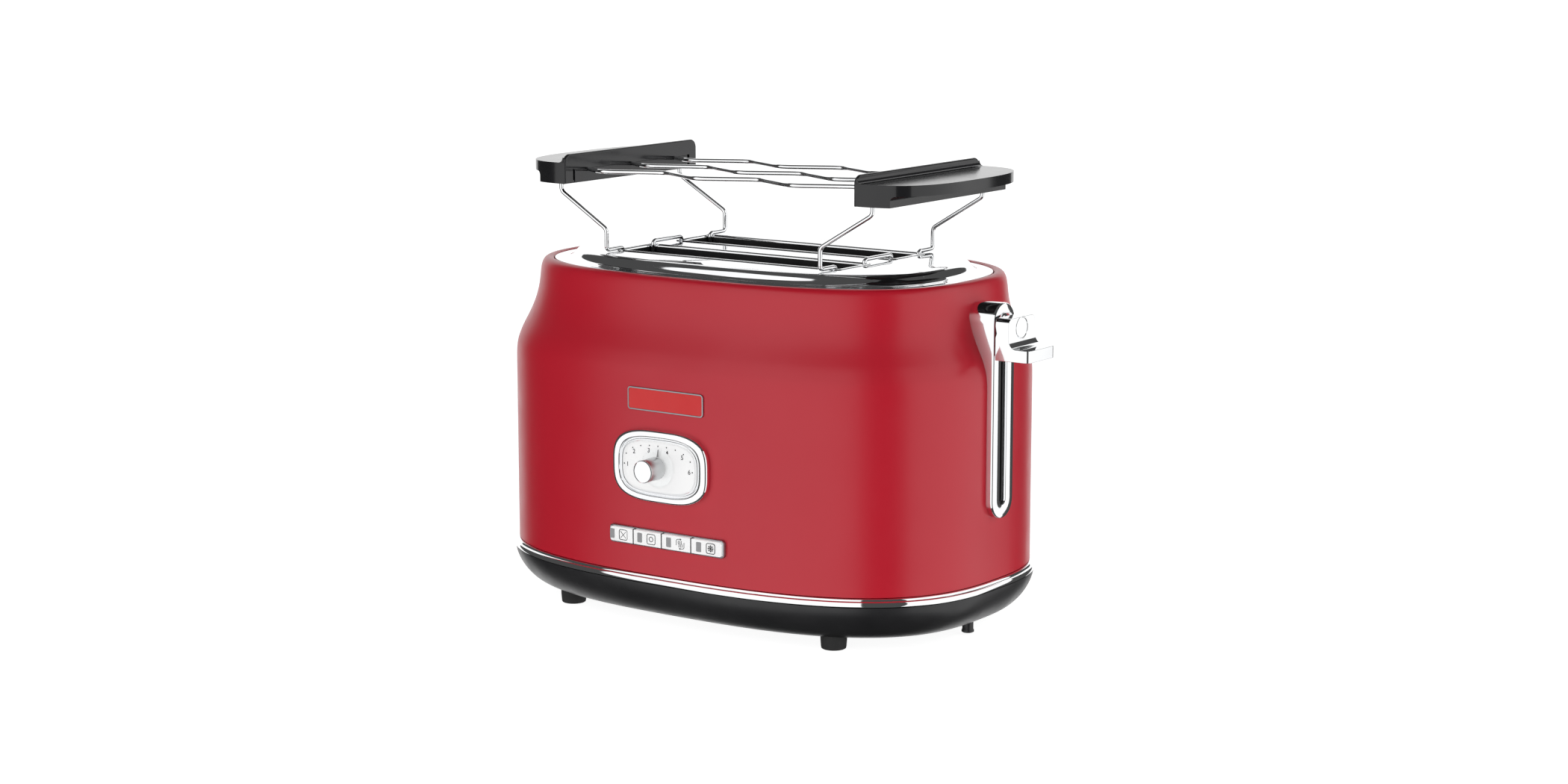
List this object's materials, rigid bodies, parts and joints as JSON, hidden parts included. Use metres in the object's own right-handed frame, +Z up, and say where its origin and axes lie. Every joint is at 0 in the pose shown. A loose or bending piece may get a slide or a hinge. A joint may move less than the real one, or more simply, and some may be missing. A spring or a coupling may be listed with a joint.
{
  "type": "pop-up toaster",
  "caption": "Rounded pop-up toaster with side-by-side bread slots, an end lever, a browning dial, push buttons, a crumb tray and a lift-off wire warming rack.",
  "frame": {"origin": "on the surface the feet stand on, under the centre of the box around the whole toaster, lever and knob included", "axes": "+X along the toaster towards its lever, -Y towards the dial and buttons, +Z up"},
  "size_m": [0.3198, 0.2134, 0.2465],
  "materials": {
    "red_enamel": "satin red enamel",
    "bright_chrome": "polished",
    "button_silver": "silver plated",
    "black_base": "satin black",
    "black_handle": "gloss black",
    "black_rubber": "matte",
    "white_dial": "white printed plate",
    "clear_skirt": "clear plastic",
    "green_board": "circuit board",
    "copper_coil": "enamelled copper winding",
    "mica_board": "mica sheet",
    "plain_steel": "plain sheet and wire"
  },
  "bodies": {
    "housing": {"outer_shell": "red_enamel", "top_deck": "bright_chrome", "base_tray": "black_base", "base_band": "bright_chrome", "foot_front_left": "black_rubber", "foot_front_right": "black_rubber", "foot_rear_left": "black_rubber", "foot_rear_right": "black_rubber", "cord_post_left": "black_base", "cord_post_right": "black_base", "cord_bushing": "black_rubber", "badge_plate": "bright_chrome", "button_frame": "bright_chrome", "dial_bezel": "bright_chrome", "dial_face": "white_dial", "dial_control": "black_base", "control_board": "green_board", "lever_trim": "bright_chrome", "guide_rod": "plain_steel", "return_spring": "plain_steel", "latch_magnet": "copper_coil", "end_plate_left": "plain_steel", "end_plate_right": "plain_steel", "reflector_front": "plain_steel", "reflector_rear": "plain_steel", "heater_front": "mica_board", "heater_centre": "mica_board", "heater_rear": "mica_board"},
    "dial": {"browning_knob": "bright_chrome", "dial_skirt": "clear_skirt"},
    "cancel_key": {"button_cancel": "button_silver"},
    "one_side_key": {"button_one_side": "button_silver"},
    "reheat_key": {"button_reheat": "button_silver"},
    "defrost_key": {"button_defrost": "button_silver"},
    "lift": {"carriage": "plain_steel", "lever_handle": "bright_chrome", "bread_lifter_front": "plain_steel", "bread_lifter_rear": "plain_steel"},
    "front_outer_guard": {"guard_front_outer": "plain_steel"},
    "front_inner_guard": {"guard_front_inner": "plain_steel"},
    "rear_inner_guard": {"guard_rear_inner": "plain_steel"},
    "rear_outer_guard": {"guard_rear_outer": "plain_steel"},
    "tray": {"crumb_tray": "plain_steel"},
    "rack": {"rack_handle_left": "black_handle", "rack_handle_right": "black_handle", "rack_leg_left": "bright_chrome", "rack_leg_right": "bright_chrome", "rack_wire_front": "bright_chrome", "rack_wire_middle": "bright_chrome", "rack_wire_rear": "bright_chrome"}
  },
  "joints": [
    {"name": "lever_slide", "type": "slide", "parent": "housing", "child": "lift", "axis": [0, 0, -1], "range_m": [0, 0.07], "stiffness_N_per_m": 80, "springref_m": -0.06, "deforming": ["return_spring"]},
    {"name": "dial_turn", "type": "hinge", "parent": "housing", "child": "dial", "pos_m": [-0.01165, -0.0947, 0.0912], "axis": [0, 1, 0], "range_deg": [-94, 82]},
    {"name": "cancel_press", "type": "slide", "parent": "housing", "child": "cancel_key", "axis": [0, 1, 0], "range_m": [0, 0.0018], "stiffness_N_per_m": 250, "springref_m": -0.002},
    {"name": "one_side_press", "type": "slide", "parent": "housing", "child": "one_side_key", "axis": [0, 1, 0], "range_m": [0, 0.0018], "stiffness_N_per_m": 250, "springref_m": -0.002},
    {"name": "reheat_press", "type": "slide", "parent": "housing", "child": "reheat_key", "axis": [0, 1, 0], "range_m": [0, 0.0018], "stiffness_N_per_m": 250, "springref_m": -0.002},
    {"name": "defrost_press", "type": "slide", "parent": "housing", "child": "defrost_key", "axis": [0, 1, 0], "range_m": [0, 0.0018], "stiffness_N_per_m": 250, "springref_m": -0.002},
    {"name": "front_outer_close", "type": "slide", "parent": "housing", "child": "front_outer_guard", "axis": [0, 1, 0], "range_m": [0, 0.0051]},
    {"name": "front_inner_close", "type": "slide", "parent": "housing", "child": "front_inner_guard", "axis": [0, -1, 0], "range_m": [0, 0.0051]},
    {"name": "rear_inner_close", "type": "slide", "parent": "housing", "child": "rear_inner_guard", "axis": [0, 1, 0], "range_m": [0, 0.0051]},
    {"name": "rear_outer_close", "type": "slide", "parent": "housing", "child": "rear_outer_guard", "axis": [0, -1, 0], "range_m": [0, 0.0051]},
    {"name": "tray_slide", "type": "slide", "parent": "housing", "child": "tray", "axis": [0, 1, 0], "range_m": [0, 0.16]},
    {"name": "rack_lift", "type": "slide", "parent": "housing", "child": "rack", "axis": [0, 0, 1], "range_m": [0, 0.08]}
  ],
  "couplings": [
    {"joint": "front_outer_close", "follows": "lever_slide", "ratio": 0.0714},
    {"joint": "front_inner_close", "follows": "lever_slide", "ratio": 0.0714},
    {"joint": "rear_inner_close", "follows": "lever_slide", "ratio": 0.0714},
    {"joint": "rear_outer_close", "follows": "lever_slide", "ratio": 0.0714}
  ]
}
